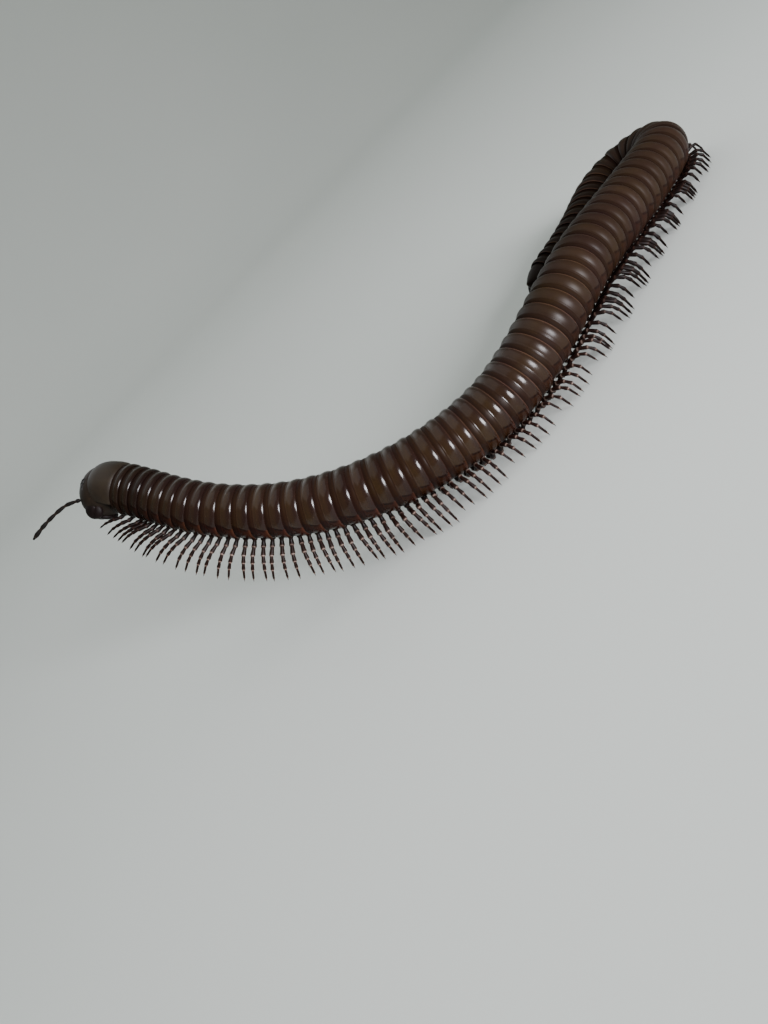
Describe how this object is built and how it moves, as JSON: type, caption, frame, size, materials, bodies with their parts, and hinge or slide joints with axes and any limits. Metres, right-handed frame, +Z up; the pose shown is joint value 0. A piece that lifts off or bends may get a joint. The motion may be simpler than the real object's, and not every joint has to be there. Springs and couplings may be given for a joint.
{
  "type": "millipede model",
  "caption": "Still life-size model of a giant spirostreptus millipede, front third of the ringed body raised off its many legs, tail turned back beside itself.",
  "frame": {"origin": "centre of the footprint of the whole animal, on the floor its feet stand on", "axes": "+Z up from the floor; +X from the raised head end towards the turned-back tail end, the animal's longest way; +Y towards the side the tail is turned to, which is the animal's right"},
  "size_m": [0.1591, 0.059, 0.0475],
  "materials": {
    "head_shell": "glossy near-black brown shell",
    "collum_shell": "satin grey-brown shell",
    "mouthparts": "satin dark red-brown shell",
    "eyes": "glossy black beads",
    "antennae": "satin dark brown with fine hair",
    "trunk_shell": "polished dark brown rings and legs",
    "telson_shell": "polished dark brown shell",
    "anal_valves": "polished red-brown shell"
  },
  "bodies": {
    "root": {"head": "head_shell", "collum": "collum_shell", "gnathochilarium": "mouthparts", "mandible_left": "mouthparts", "mandible_right": "mouthparts", "eye_left": "eyes", "eye_right": "eyes", "antenna_left": "antennae", "antenna_right": "antennae", "trunk_01": "trunk_shell", "trunk_02": "trunk_shell", "trunk_03": "trunk_shell", "trunk_04": "trunk_shell", "trunk_05": "trunk_shell", "trunk_06": "trunk_shell", "trunk_07": "trunk_shell", "trunk_08": "trunk_shell", "trunk_09": "trunk_shell", "trunk_10": "trunk_shell", "trunk_11": "trunk_shell", "telson": "telson_shell", "anal_valve_left": "anal_valves", "anal_valve_right": "anal_valves"}
  },
  "joints": []
}
